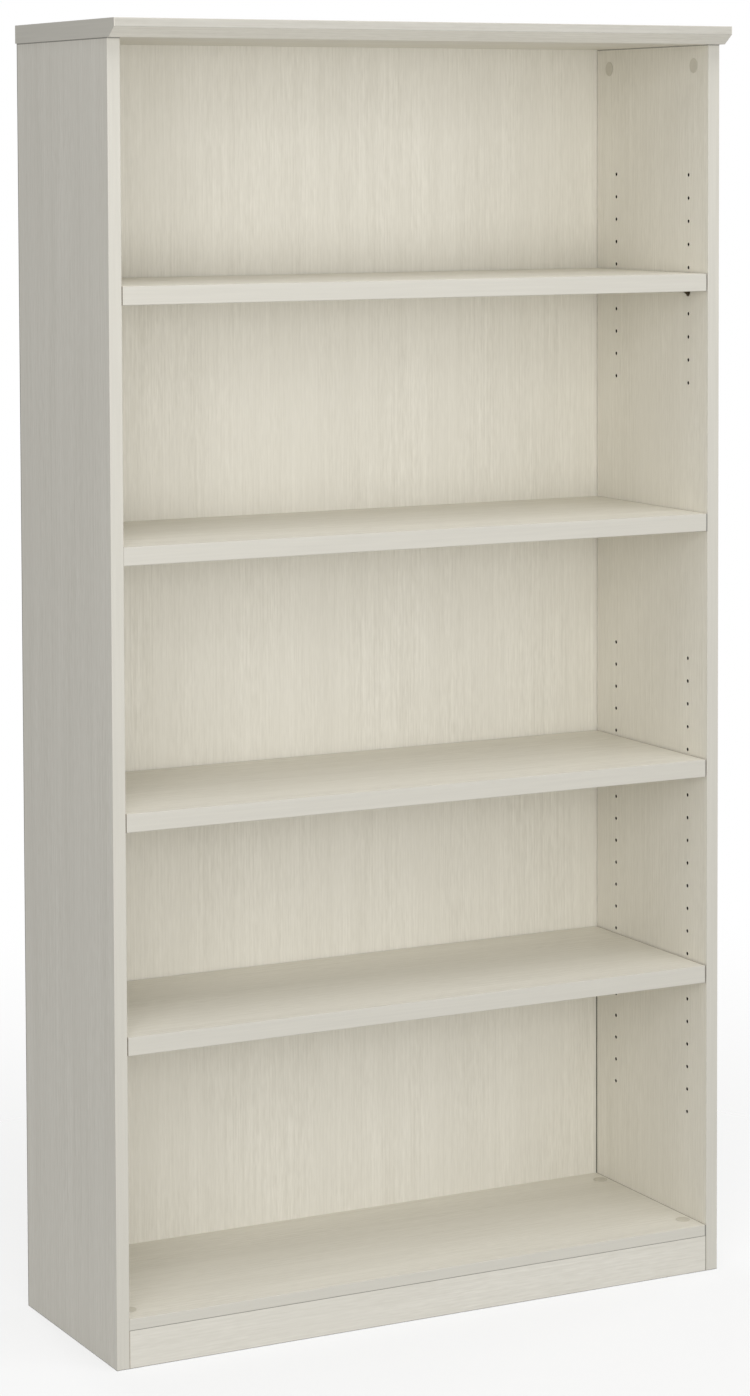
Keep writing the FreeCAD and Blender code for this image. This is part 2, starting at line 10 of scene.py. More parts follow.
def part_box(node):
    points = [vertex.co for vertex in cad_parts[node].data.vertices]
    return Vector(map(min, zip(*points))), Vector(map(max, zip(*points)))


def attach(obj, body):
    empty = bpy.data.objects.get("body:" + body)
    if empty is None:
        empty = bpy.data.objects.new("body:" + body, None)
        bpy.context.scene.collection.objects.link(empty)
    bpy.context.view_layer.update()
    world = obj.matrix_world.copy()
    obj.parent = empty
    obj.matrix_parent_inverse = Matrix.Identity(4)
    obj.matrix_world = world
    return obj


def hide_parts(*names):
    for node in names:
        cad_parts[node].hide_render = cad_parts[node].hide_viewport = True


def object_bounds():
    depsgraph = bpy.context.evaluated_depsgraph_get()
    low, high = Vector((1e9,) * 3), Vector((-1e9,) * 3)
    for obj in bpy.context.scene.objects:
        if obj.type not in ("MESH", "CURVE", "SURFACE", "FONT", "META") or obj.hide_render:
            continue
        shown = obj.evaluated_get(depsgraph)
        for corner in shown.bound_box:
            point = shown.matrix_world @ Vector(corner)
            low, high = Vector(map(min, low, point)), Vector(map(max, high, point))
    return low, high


bl_info = {
    "name": "Bookcase with adjustable shelves",
    "version": (1, 0, 0),
    "blender": (4, 5, 0),
    "location": "3D View > Sidebar > Bookcase",
    "description": "Finishes, shelf pins, cam covers and studio around the bookcase's frame",
    "category": "Object",
}

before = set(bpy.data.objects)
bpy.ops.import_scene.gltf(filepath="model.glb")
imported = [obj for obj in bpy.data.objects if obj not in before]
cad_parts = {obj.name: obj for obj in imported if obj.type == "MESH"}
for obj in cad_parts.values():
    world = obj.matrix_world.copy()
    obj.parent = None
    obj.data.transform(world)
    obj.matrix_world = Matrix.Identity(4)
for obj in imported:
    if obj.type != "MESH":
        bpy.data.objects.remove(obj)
CAD_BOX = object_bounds()

# ---- the boards by the way their grain runs
SIDES = ("left_side", "right_side")
SIDE_BANDS = ("left_side_band", "right_side_band")
FIXED_BOARDS = ("fixed_shelf", "bottom_panel")
LOOSE_SHELVES = ("upper_shelf", "middle_shelf", "lower_shelf")
LEVEL_BANDS = ("fixed_shelf_band", "bottom_band", "upper_shelf_band", "middle_shelf_band",
               "lower_shelf_band")
TOP_END_BANDS = ("top_left_end_band", "top_right_end_band")

# ---- the fittings
PINS = [f"{shelf}_pin_{side}_{column}" for shelf in ("upper", "middle", "lower")
        for side in ("left", "right") for column in ("front", "rear")]
COVERS = ("top_cam_covers", "fixed_shelf_cam_covers", "bottom_cam_covers")
CAMS = ("top_cams", "fixed_shelf_cams", "bottom_cams")
PLATED = ("top_cam_bolts", "fixed_shelf_cam_bolts", "bottom_cam_bolts", "back_screws",
          "kick_bracket_screws", "kick_brackets")
DOWELS = {"top_dowels": "Z", "fixed_shelf_dowels": "X", "bottom_dowels": "X", "kick_dowels": "X"}

# ---- places that the frame gives, in metres
INNER_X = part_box("kick_board")[1].x
OUTER_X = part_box("right_side")[1].x
REAR_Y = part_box("right_side")[1].y
UNDER_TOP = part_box("top_panel")[0].z
FLOOR_Z = 0.0
SKIN = 0.0003
LINE = 0.0013

# ---- how much light is left in a joint, in the open gap at the back, and on the top's front
JOINT_SHADE = 0.42
GAP_SHADE = 0.24
NOSE_SHADE = 0.75

# ---- brightness of one board against the others
TOP_BRIGHTNESS = 0.94
TOP_END_BRIGHTNESS = 1.05
KICK_BRIGHTNESS = 0.90

# ---- patterns: the size of a noise cell across and along the grain, in metres
PATCH_CELL = (0.06, 0.25)
FIGURE_CELL = (0.03, 0.7)
PRINT_CELL = (0.003, 0.12)
LONG_LINE = 12
TICK_WIDTH = 0.9
FIGURE_SHARE = 0.22
PATCH_CONTRAST = (0.4, 1.0)
CHIP_SIZE = 0.002

# ---- what a noise value mostly stays between
NOISE_LOW = 0.3
NOISE_HIGH = 0.7

# ---- how dark a pattern's dark parts are, against its light ones
CHIP_DARK = 0.6
PRINT_DARK = 0.955

# ---- roughness, as a pair from a pattern's dark parts to its light ones, or as steps from a middle
RAW_ROUGHNESS = 0.9
BAND_ROUGHNESS = (0.42, 0.36)
VALLEY_STEP = 0.06
RIDGE_STEP = 0.04

BAND_BUMP = 0.00004


# ---- what a user can change

def colour(name, description, default):
    return bpy.props.FloatVectorProperty(name=name, description=description, default=default,
                                         subtype="COLOR", size=3, min=0.0, max=1.0)


def length(name, description, default):
    return bpy.props.FloatProperty(name=name, description=description, default=default, min=0.0,
                                   unit="LENGTH", subtype="DISTANCE", precision=5)


def factor(name, description, default):
    return bpy.props.FloatProperty(name=name, description=description, default=default, min=0.0, max=1.0,
                                   subtype="FACTOR")


def power(name, description, default):
    return bpy.props.FloatProperty(name=name, description=description, default=default, min=0.0,
                                   unit="POWER")


class LaminateFinish(bpy.types.PropertyGroup):
    """The woodgrain laminate on the boards, and the plastic bands on their edges."""

    ridge: colour("Ridges", "Colour of the light streaks of the grain", (0.860, 0.832, 0.750))
    valley: colour("Valleys", "Colour of the dark streaks of the grain", (0.724, 0.695, 0.612))
    band: colour("Bands", "Colour of the edge bands", (0.655, 0.632, 0.562))
    core: colour("Core", "Colour of the raw board at cut ends and in the rabbets", (0.400, 0.300, 0.190))
    # the hole colour is painted shade that darkens the inside of the pin holes
    hole: colour("Holes", "Colour of the shaded board inside the pin holes", (0.014, 0.010, 0.006))
    streak_width: length("Streak width", "Width of one streak of the grain", 0.0024)
    streak_length: length("Streak length", "Length of a short streak of the grain", 0.020)
    relief: length("Relief", "Height of the embossed grain", 0.00016)
    gloss: factor("Roughness", "Roughness of the satin face", 0.44)


class FittingFinish(bpy.types.PropertyGroup):
    """The pins, cam covers and metal fittings."""

    bronze: colour("Pins", "Colour of the shelf pins' bronze plating", (0.110, 0.087, 0.055))
    cover: colour("Cam covers", "Colour of the push-on covers", (0.660, 0.628, 0.538))
    zinc: colour("Zinc", "Colour of the cams, bolts and screws", (0.560, 0.550, 0.530))
    beech: colour("Dowels", "Colour of the wooden dowels", (0.600, 0.430, 0.260))
    pin_edge: length("Pin edge", "Radius on the edges of a shelf pin", 0.00025)
    cover_gap: length("Cover gap", "Height of the shadow gap under a cover's rim", 0.00045)


class StudioSetup(bpy.types.PropertyGroup):
    """Floor, lights and camera."""

    floor: colour("Floor", "Colour of the floor", (0.900, 0.900, 0.895))
    floor_cover: factor("Floor cover", "How much of the floor shows over the white around it", 0.30)
    sky: factor("Sky", "Strength of the even light all round", 0.378)
    near_front: power("Near front", "Power of the low light in front", 40.0)
    left_front: power("Left front", "Power of the soft light at the front left", 53.0)
    right_front: power("Right front", "Power of the soft light at the front right", 19.0)
    overhead: power("Overhead", "Power of the soft light overhead", 60.0)
    behind: power("Behind", "Power of the soft light behind", 52.0)
    right_side: power("Right side", "Power of the soft light that faces the right side", 26.0)
    lens: bpy.props.FloatProperty(name="Lens", description="Focal length in millimetres", default=93.8)


# ---- node helpers

def node(tree, kind, inputs=None, **settings):
    """A shader node with its settings, and its inputs given as sockets to link or as constants."""
    made = tree.nodes.new(kind)
    for key, value in settings.items():
        setattr(made, key, value)
    for key, value in (inputs or {}).items():
        if isinstance(value, bpy.types.NodeSocket):
            tree.links.new(value, made.inputs[key])
        else:
            made.inputs[key].default_value = value
    return made


def math_node(tree, operation, first, second=0.0, third=0.0):
    return node(tree, "ShaderNodeMath", {0: first, 1: second, 2: third}, operation=operation).outputs[0]


def object_place(tree):
    return node(tree, "ShaderNodeTexCoord").outputs["Object"]


def noise(tree, cell, detail=2.0):
    """Noise on Object coordinates whose cells have the given size along X, Y and Z, in metres."""
    scale = [1.0 / size for size in cell]
    place = node(tree, "ShaderNodeMapping", {"Vector": object_place(tree), "Scale": scale}).outputs[0]
    made = node(tree, "ShaderNodeTexNoise", {"Vector": place, "Scale": 1.0, "Detail": detail})
    return made.outputs[0]


def spread(tree, value, low, high):
    """A noise value spread so that it runs from a low value to a high one."""
    limits = {"Value": value, "From Min": NOISE_LOW, "From Max": NOISE_HIGH, "To Min": low, "To Max": high}
    return node(tree, "ShaderNodeMapRange", limits).outputs[0]


def blend_colours(tree, share, first, second):
    """The first colour at share 0 and the second at share 1."""
    first, second = (c if isinstance(c, bpy.types.NodeSocket) else (*c, 1.0) for c in (first, second))
    return node(tree, "ShaderNodeMix", {0: share, 6: first, 7: second}, data_type="RGBA").outputs[2]


def relief(tree, height, depth):
    """A bump whose highest places stand the given depth out of the face, in metres."""
    return node(tree, "ShaderNodeBump", {"Height": height, "Distance": depth, "Strength": 1.0}).outputs[0]


def new_material(name):
    made = bpy.data.materials.new(name)
    made.use_nodes = True
    return made, made.node_tree, made.node_tree.nodes["Principled BSDF"].inputs


def feed(tree, shader_input, value):
    """Links a socket to a shader input, or sets a constant on it."""
    if isinstance(value, bpy.types.NodeSocket):
        tree.links.new(value, shader_input)
    else:
        shader_input.default_value = value


def dress(names, material):
    """Gives a material to CAD nodes, through their objects' material slots."""
    for name in names:
        for material_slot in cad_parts[name].material_slots:
            material_slot.material = material


# ---- laminate and bands

def along_grain(axis, across, along):
    """A noise cell that is long on one axis."""
    return [along if letter == axis else across for letter in "XYZ"]


def raw_board(tree, finish):
    """Pressed wood chips."""
    chips = spread(tree, noise(tree, (CHIP_SIZE,) * 3, 3.0), 0.0, 1.0)
    return blend_colours(tree, chips, [CHIP_DARK * c for c in finish.core], finish.core)


def beyond(tree, axis, limit):
    """1 where the distance from the middle plane of an axis is more than a limit, and 0 elsewhere."""
    parts = node(tree, "ShaderNodeSeparateXYZ", {"Vector": object_place(tree)})
    return math_node(tree, "GREATER_THAN", math_node(tree, "ABSOLUTE", parts.outputs[axis]), limit)


def both(tree, first, second):
    return math_node(tree, "MULTIPLY", first, second)


def neither(tree, mask):
    return math_node(tree, "SUBTRACT", 1.0, mask)


def shade_along(tree, tint, planes):
    """A tint with painted shade in lines where other boards meet this one.

    Each line is an axis, a place on it, a half width and how much of the light is left.
    """
    parts = node(tree, "ShaderNodeSeparateXYZ", {"Vector": object_place(tree)})
    kept = 1.0
    for axis, place, half_width, share in planes:
        line = math_node(tree, "COMPARE", parts.outputs[axis], place, half_width)
        kept = math_node(tree, "MINIMUM", kept, math_node(tree, "MULTIPLY_ADD", line, share - 1.0, 1.0))
    return node(tree, "ShaderNodeVectorMath", {0: tint, "Scale": kept}, operation="SCALE").outputs[0]


def laminate(name, grain, joint_shade_lines=(), bare_or_shaded=None, brightness=1.0):
    """Embossed woodgrain laminate with painted shade along joint lines; an optional mask maker gives the
    mask and colour of the places that have none, or painted shade in holes and gaps.
    """
    finish = bpy.context.scene.bookcase_laminate
    made, tree, shader = new_material(name)
    width, run = finish.streak_width, finish.streak_length
    long_lines = noise(tree, along_grain(grain, width, LONG_LINE * run), 1.0)
    ticks = noise(tree, along_grain(grain, TICK_WIDTH * width, run), 1.0)
    streaks = math_node(tree, "MULTIPLY_ADD", ticks, 0.5, math_node(tree, "MULTIPLY", long_lines, 0.5))
    patches = spread(tree, noise(tree, along_grain(grain, *PATCH_CELL), 1.0), *PATCH_CONTRAST)
    figure = noise(tree, along_grain(grain, *FIGURE_CELL), 2.0)
    ground = math_node(tree, "MULTIPLY_ADD", spread(tree, figure, -0.5, 0.5), FIGURE_SHARE, 0.5)
    tone = math_node(tree, "MULTIPLY_ADD", spread(tree, streaks, -0.5, 0.5), patches, ground)
    light, dark = ([brightness * c for c in tint] for tint in (finish.ridge, finish.valley))
    tint = blend_colours(tree, tone, dark, light)
    tint = shade_along(tree, tint, joint_shade_lines)
    satin = spread(tree, streaks, finish.gloss + VALLEY_STEP, finish.gloss - RIDGE_STEP)
    if bare_or_shaded:
        # the masked colour is raw board, or painted shade in the pin holes and in the gap at the back
        mask, board = bare_or_shaded(tree, finish)
        tint = blend_colours(tree, mask, tint, board)
        satin = math_node(tree, "MAXIMUM", satin, math_node(tree, "MULTIPLY", mask, RAW_ROUGHNESS))
    feed(tree, shader["Base Color"], tint)
    feed(tree, shader["Roughness"], satin)
    feed(tree, shader["Normal"], relief(tree, streaks, finish.relief))
    return made


def edge_band(name, grain, joint_shade_lines=(), brightness=1.0):
    """Smooth plastic band with the grain printed faintly on it, and painted shade along joint lines."""
    finish = bpy.context.scene.bookcase_laminate
    made, tree, shader = new_material(name)
    print_lines = noise(tree, along_grain(grain, *PRINT_CELL), 2.0)
    light = [brightness * c for c in finish.band]
    dark = [PRINT_DARK * c for c in light]
    tint = blend_colours(tree, spread(tree, print_lines, 0.0, 1.0), dark, light)
    feed(tree, shader["Base Color"], shade_along(tree, tint, joint_shade_lines))
    feed(tree, shader["Roughness"], spread(tree, print_lines, *BAND_ROUGHNESS))
    feed(tree, shader["Normal"], relief(tree, print_lines, BAND_BUMP))
    return made


def holes_and_rabbet(tree, finish):
    """Inside a side: painted shade in the pin holes, and raw board in the rabbet that holds the back panel.
    """
    past_inner_face = beyond(tree, "X", INNER_X + SKIN)
    within_outer_face = neither(tree, beyond(tree, "X", OUTER_X - SKIN))
    between = both(tree, past_inner_face, within_outer_face)
    mask = both(tree, between, neither(tree, beyond(tree, "Y", REAR_Y - SKIN)))
    in_rabbet = beyond(tree, "Y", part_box("back_panel")[0].y - SKIN)
    return mask, blend_colours(tree, in_rabbet, finish.hole, raw_board(tree, finish))


def open_joint(tree, finish):
    """Painted shadow of a gap between the back panel and the sides, below the lower shelf."""
    beside_side = beyond(tree, "X", INNER_X - LINE)
    below_shelf = neither(tree, beyond(tree, "Z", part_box("lower_shelf")[0].z))
    in_front = neither(tree, beyond(tree, "Y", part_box("back_panel")[0].y + SKIN))
    mask = both(tree, beside_side, both(tree, below_shelf, in_front))
    return mask, [GAP_SHADE * c for c in finish.valley]


def sawn_ends(end_x):
    """Raw board on the two ends of a board, past the given distance from the middle."""
    return lambda tree, finish: (beyond(tree, "X", end_x - SKIN), raw_board(tree, finish))


class BOOKCASE_OT_sides(bpy.types.Operator):
    """Laminate with upright grain on both sides, painted shade in the pin holes, and raw board in the
    rabbets
    """

    bl_idname = "bookcase.sides"
    bl_label = "Sides"

    def execute(self, context):
        # painted shade along the top's underside, at the floor and along the rear edge
        ends = [("Z", UNDER_TOP, LINE, JOINT_SHADE), ("Z", FLOOR_Z, LINE / 2, JOINT_SHADE)]
        rear = ("Y", REAR_Y - LINE, LINE - SKIN, JOINT_SHADE)
        dress(SIDES, laminate("side laminate", "Z", [*ends, rear], holes_and_rabbet))
        dress(SIDE_BANDS, edge_band("upright band", "Z", ends))
        return {"FINISHED"}


class BOOKCASE_OT_back(bpy.types.Operator):
    """Laminate with upright grain on the back panel, and painted shadow in the open joint at its lowest
    corners
    """

    bl_idname = "bookcase.back"
    bl_label = "Back"

    def execute(self, context):
        dress(["back_panel"], laminate("back laminate", "Z", bare_or_shaded=open_joint))
        return {"FINISHED"}


class BOOKCASE_OT_top(bpy.types.Operator):
    """Laminate with level grain on the top, and bands on its two ends"""

    bl_idname = "bookcase.top"
    bl_label = "Top"

    def execute(self, context):
        front = ("Y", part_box("top_panel")[0].y, SKIN, NOSE_SHADE)
        dress(["top_panel"], laminate("top laminate", "X", [front], brightness=TOP_BRIGHTNESS))
        dress(TOP_END_BANDS, edge_band("top end band", "Y", brightness=TOP_END_BRIGHTNESS))
        return {"FINISHED"}


class BOOKCASE_OT_shelves(bpy.types.Operator):
    """Laminate with level grain on the shelves, the bottom and the kick board, with their bands"""

    bl_idname = "bookcase.shelves"
    bl_label = "Shelves and bottom"

    def execute(self, context):
        # painted shade lines where boards meet the sides, under the bottom, at the floor and beside the
        # loose shelves' ends
        right, left = (("X", x, LINE, JOINT_SHADE) for x in (INNER_X, -INNER_X))
        under_bottom = ("Z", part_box("kick_board")[1].z, LINE / 3, JOINT_SHADE)
        kick = [right, under_bottom, ("Z", FLOOR_Z, LINE / 2, JOINT_SHADE)]
        shelf_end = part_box(LOOSE_SHELVES[0])[1].x
        shelf_line = ("X", shelf_end, LINE / 2, JOINT_SHADE)
        dress(FIXED_BOARDS, laminate("fixed board laminate", "X", [right, left], sawn_ends(INNER_X)))
        kick_finish = laminate("kick board laminate", "X", kick, sawn_ends(INNER_X), KICK_BRIGHTNESS)
        dress(["kick_board"], kick_finish)
        dress(LOOSE_SHELVES, laminate("loose shelf laminate", "X", [shelf_line], sawn_ends(shelf_end)))
        dress(LEVEL_BANDS, edge_band("level band", "X", [right, shelf_line]))
        return {"FINISHED"}


# ---- fittings: noise cells and bumps in metres, dark parts against light ones, and roughness

METAL_BLOTCH = 0.004
METAL_GRAIN = METAL_BLOTCH / 12
METAL_DARK = 0.8
METAL_DULL_STEP = 0.08
METAL_BRIGHT_STEP = 0.06
METAL_BUMP = 0.00002
CAST_ROUGHNESS = 0.42
ZINC_ROUGHNESS = 0.30
BRONZE_ROUGHNESS = 0.36

COVER_GRAIN = 0.0006
COVER_CLOUD = 0.008
COVER_DARK = 0.9
COVER_ROUGHNESS = (0.58, 0.50)
COVER_BUMP = 0.00004

BEECH_FLECK = (0.0006, 0.012)
BEECH_DARK = 0.8
BEECH_ROUGHNESS = (0.75, 0.65)
BEECH_BUMP = 0.00006


def metal(name, tint, rough):
    """Plated or cast metal with faint blotches in colour and gloss."""
    made, tree, shader = new_material(name)
    blotch = spread(tree, noise(tree, (METAL_BLOTCH,) * 3, 3.0), 0.0, 1.0)
    fine = noise(tree, (METAL_GRAIN,) * 3)
    gloss = spread(tree, blotch, rough + METAL_DULL_STEP, rough - METAL_BRIGHT_STEP)
    feed(tree, shader["Base Color"], blend_colours(tree, blotch, [METAL_DARK * c for c in tint], tint))
    feed(tree, shader["Roughness"], gloss)
    feed(tree, shader["Metallic"], 1.0)
    feed(tree, shader["Normal"], relief(tree, fine, METAL_BUMP))
    return made


def cover_plastic(tint):
    """Moulded plastic with a fine spark-eroded texture."""
    made, tree, shader = new_material("cover plastic")
    texture = noise(tree, (COVER_GRAIN,) * 3)
    cloud = noise(tree, (COVER_CLOUD,) * 3)
    feed(tree, shader["Base Color"], blend_colours(tree, cloud, [COVER_DARK * c for c in tint], tint))
    feed(tree, shader["Roughness"], spread(tree, texture, *COVER_ROUGHNESS))
    feed(tree, shader["Normal"], relief(tree, texture, COVER_BUMP))
    return made


def beech(axis, tint):
    """Bare beech with flecks along the dowel."""
    made, tree, shader = new_material("beech along " + axis)
    fibres = noise(tree, along_grain(axis, *BEECH_FLECK), 3.0)
    dark = [BEECH_DARK * c for c in tint]
    feed(tree, shader["Base Color"], blend_colours(tree, spread(tree, fibres, 0.0, 1.0), dark, tint))
    feed(tree, shader["Roughness"], spread(tree, fibres, *BEECH_ROUGHNESS))
    feed(tree, shader["Normal"], relief(tree, fibres, BEECH_BUMP))
    return made


class BOOKCASE_OT_hidden_fittings(bpy.types.Operator):
    """Zinc on the cams, bolts, screws and angles, and beech on the dowels"""

    bl_idname = "bookcase.hidden_fittings"
    bl_label = "Cams, bolts, screws and dowels"

    def execute(self, context):
        finish = context.scene.bookcase_fittings
        dress(CAMS, metal("cast zinc", finish.zinc, CAST_ROUGHNESS))
        dress(PLATED, metal("zinc plating", finish.zinc, ZINC_ROUGHNESS))
        for axis in "XZ":
            dress([name for name, way in DOWELS.items() if way == axis], beech(axis, finish.beech))
        return {"FINISHED"}


# ---- shelf pins and cam covers, shaped here

MILLIMETRE = 0.001
BURIED = 0.3 * MILLIMETRE
ROUND_STEPS = 40
STEM_CHAMFER = 0.4 * MILLIMETRE
LEDGE_END_RADIUS = 3.0 * MILLIMETRE
MERGE = 0.002 * MILLIMETRE
CORNER = math.radians(40)
SHARP = math.radians(32)


def new_piece(name, mesh, body, material, slot, *nodes):
    """An object at the origin that stands for CAD nodes and rides on their body."""
    mesh.materials.clear()
    mesh.materials.append(material)
    piece = bpy.data.objects.new(name, mesh)
    bpy.context.collection.objects.link(piece)
    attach(piece, body)
    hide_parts(*nodes)
    return piece


def soften(form, edges, radius, segments=3):
    bmesh.ops.bevel(form, geom=edges, offset=radius, segments=segments, affect="EDGES", profile=0.5,
                    material=-1)


def sharp_edges(form):
    """Edges between faces that turn by more than a corner's angle."""
    return [edge for edge in form.edges if edge.calc_face_angle(0.0) > CORNER]


def push_outline(form, points, way):
    """A closed outline pushed along a vector into a solid."""
    face = form.faces.new([form.verts.new(point) for point in points])
    pushed = bmesh.ops.extrude_face_region(form, geom=[face])["geom"]
    moved = [part for part in pushed if isinstance(part, bmesh.types.BMVert)]
    bmesh.ops.translate(form, vec=way, verts=moved)
    bmesh.ops.recalc_face_normals(form, faces=form.faces)


class PinSizes:
    """A shelf pin's sizes, in metres, mostly read from the frame's own pin."""

    def __init__(self):
        low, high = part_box("upper_pin_right_front")
        shelf_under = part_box("upper_shelf")[0].z
        self.rise = 1.0 * MILLIMETRE
        self.axis_z = shelf_under - self.rise
        self.stem = high.x - INNER_X
        self.radius = 2.45 * MILLIMETRE
        self.tongue = 1.5 * MILLIMETRE
        self.shoulder = 1.0 * MILLIMETRE
        self.tip_radius = 3.2 * MILLIMETRE
        self.ledge = 1.8 * MILLIMETRE
        self.web = 2.0 * MILLIMETRE
        self.web_reach = 8.0 * MILLIMETRE
        self.web_drop = 5.5 * MILLIMETRE
        self.reach = INNER_X - low.x
        self.half_width = (high.y - low.y) / 2
        self.drop = self.axis_z - low.z


def pin_stem(form, pin):
    """A round stem with a flat top and a chamfered tip."""
    turn = Matrix.Rotation(math.pi / 2, 4, "Y")
    place = Matrix.Translation(((pin.stem - BURIED) / 2, 0.0, 0.0))
    bmesh.ops.create_cone(form, cap_ends=True, segments=ROUND_STEPS, radius1=pin.radius, radius2=pin.radius,
                          depth=pin.stem + BURIED, matrix=place @ turn)
    bmesh.ops.bisect_plane(form, geom=[*form.verts, *form.edges, *form.faces],
                           plane_co=(0.0, 0.0, pin.rise), plane_no=(0.0, 0.0, 1.0), clear_outer=True)
    bmesh.ops.holes_fill(form, edges=[edge for edge in form.edges if edge.is_boundary])
    tip = [edge for edge in sharp_edges(form) if all(v.co.x > pin.stem - BURIED for v in edge.verts)]
    soften(form, tip, STEM_CHAMFER, 1)


def pin_tongue(form, pin):
    """The plate against the side: straight shoulders that taper to a round tip."""
    tip_z = pin.tip_radius - pin.drop
    corner_y, corner_z = pin.half_width, -pin.shoulder
    reach = math.hypot(corner_y, corner_z - tip_z)
    first = math.atan2(corner_z - tip_z, corner_y) - math.acos(pin.tip_radius / reach)
    sweep = -math.pi - 2 * first
    steps = ROUND_STEPS // 2
    arc = [first + sweep * step / steps for step in range(steps + 1)]
    points = [(0.0, -corner_y, pin.rise), (0.0, corner_y, pin.rise), (0.0, corner_y, corner_z)]
    points += [(0.0, pin.tip_radius * math.cos(a), tip_z + pin.tip_radius * math.sin(a)) for a in arc]
    points.append((0.0, -corner_y, corner_z))
    push_outline(form, points, (-pin.tongue, 0.0, 0.0))


def pin_ledge(form, pin):
    """The flat ledge that the shelf lies on, with a rounded end."""
    depth = pin.reach - BURIED
    centre = (-BURIED - depth / 2, 0.0, pin.rise - pin.ledge / 2)
    size = Matrix.Diagonal((depth, 2 * pin.half_width, pin.ledge, 1.0))
    bmesh.ops.create_cube(form, size=1.0, matrix=Matrix.Translation(centre) @ size)
    end = [edge for edge in form.edges if all(v.co.x < BURIED - pin.reach for v in edge.verts)
           and abs(edge.verts[0].co.z - edge.verts[1].co.z) > pin.ledge / 2]
    soften(form, end, LEDGE_END_RADIUS, 8)


def pin_web(form, pin):
    """The gusset under the ledge."""
    high, low = pin.rise - pin.ledge + BURIED, pin.rise - pin.ledge - pin.web_drop
    half = pin.web / 2
    points = [(-BURIED, -half, high), (-pin.tongue - pin.web_reach, -half, high), (-pin.tongue, -half, low),
              (-BURIED, -half, low)]
    push_outline(form, points, (0.0, pin.web, 0.0))


def shelf_pin_mesh(edge_radius):
    """One right-hand pin with its hole's centre, on the side's face, at the origin.

    The stem keeps sharp edges, because softened ones cross each other and spoil the union.
    """
    pin = PinSizes()
    parts = []
    for build in (pin_tongue, pin_ledge, pin_web, pin_stem):
        form = bmesh.new()
        build(form, pin)
        if build is not pin_stem:
            soften(form, sharp_edges(form), edge_radius)
        mesh = bpy.data.meshes.new(build.__name__)
        form.to_mesh(mesh)
        form.free()
        parts.append(bpy.data.objects.new(build.__name__, mesh))
        bpy.context.collection.objects.link(parts[-1])
    for part in parts[1:]:
        join = parts[0].modifiers.new("join", "BOOLEAN")
        join.operation = "UNION"
        join.solver = "EXACT"
        join.object = part
    graph = bpy.context.evaluated_depsgraph_get()
    whole = bpy.data.meshes.new_from_object(parts[0].evaluated_get(graph))
    for part in parts:
        bpy.data.objects.remove(part)
    form = bmesh.new()
    form.from_mesh(whole)
    bmesh.ops.remove_doubles(form, verts=form.verts, dist=MERGE)
    bmesh.ops.recalc_face_normals(form, faces=form.faces)
    form.to_mesh(whole)
    form.free()
    smooth(whole)
    return whole, pin


def smooth(mesh):
    """Rounded stretches shade smoothly and sharp corners stay sharp."""
    for face in mesh.polygons:
        face.use_smooth = True
    mesh.set_sharp_from_angle(angle=SHARP)


class BOOKCASE_OT_shelf_pins(bpy.types.Operator):
    """Plug-in shelf pins with softened edges, four under each loose shelf"""

    bl_idname = "bookcase.shelf_pins"
    bl_label = "Shelf pins"

    def execute(self, context):
        finish = context.scene.bookcase_fittings
        bronze = metal("bronze plating", finish.bronze, BRONZE_ROUGHNESS)
        right, pin = shelf_pin_mesh(finish.pin_edge)
        left = right.copy()
        left.transform(Matrix.Scale(-1.0, 4, (1.0, 0.0, 0.0)))
        left.flip_normals()
        for name in PINS:
            low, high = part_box(name)
            side = 1.0 if low.x > 0.0 else -1.0
            hole = Vector((side * INNER_X, (low.y + high.y) / 2, high.z - pin.rise))
            mesh = (right if side > 0.0 else left).copy()
            mesh.transform(Matrix.Translation(hole))
            new_piece(name + "_plated", mesh, name, bronze, "shelf_pin", name)
        for spare in (right, left):
            bpy.data.meshes.remove(spare)
        return {"FINISHED"}


COVER_RADIUS = 10.0 * MILLIMETRE
COVER_THICK = 1.0 * MILLIMETRE
COVER_ROUND = 0.5 * MILLIMETRE
COVER_FOOT = 9.2 * MILLIMETRE
COVER_DISH = 0.15 * MILLIMETRE
SPIGOT_RADIUS = 3.0 * MILLIMETRE
SPIGOT_LENGTH = 1.4 * MILLIMETRE
DISH_END = 0.6
RIM_START = 0.8
RIM_STEPS = 4
COVER_MERGE = 0.001 * MILLIMETRE


def cover_profile(gap):
    """Half of a cover's section, from the middle of its face, over the rim and under to the spigot."""
    points = [(0.0, COVER_THICK - COVER_DISH), (DISH_END * COVER_RADIUS, COVER_THICK - COVER_DISH),
              (RIM_START * COVER_RADIUS, COVER_THICK)]
    for step in range(RIM_STEPS + 1):
        angle = math.pi / 2 * (1 - step / RIM_STEPS)
        points.append((COVER_RADIUS - COVER_ROUND * (1 - math.cos(angle)),
                       COVER_THICK - COVER_ROUND * (1 - math.sin(angle))))
    points += [(COVER_RADIUS, gap), (COVER_FOOT, gap), (COVER_FOOT, 0.0), (SPIGOT_RADIUS, 0.0),
               (SPIGOT_RADIUS, -SPIGOT_LENGTH), (0.0, -SPIGOT_LENGTH)]
    return points


def cam_cover(form, gap, place):
    """One cover, with its face turned and moved by a matrix."""
    profile = [form.verts.new((radius, 0.0, height)) for radius, height in cover_profile(gap)]
    edges = [form.edges.new(ends) for ends in zip(profile, profile[1:])]
    bmesh.ops.spin(form, geom=profile + edges, cent=(0.0, 0.0, 0.0), axis=(0.0, 0.0, 1.0),
                   dvec=(0.0, 0.0, 0.0), angle=2 * math.pi, steps=ROUND_STEPS, use_merge=True)
    bmesh.ops.remove_doubles(form, verts=form.verts, dist=COVER_MERGE)
    bmesh.ops.recalc_face_normals(form, faces=form.faces)
    bmesh.ops.transform(form, matrix=place, verts=form.verts)


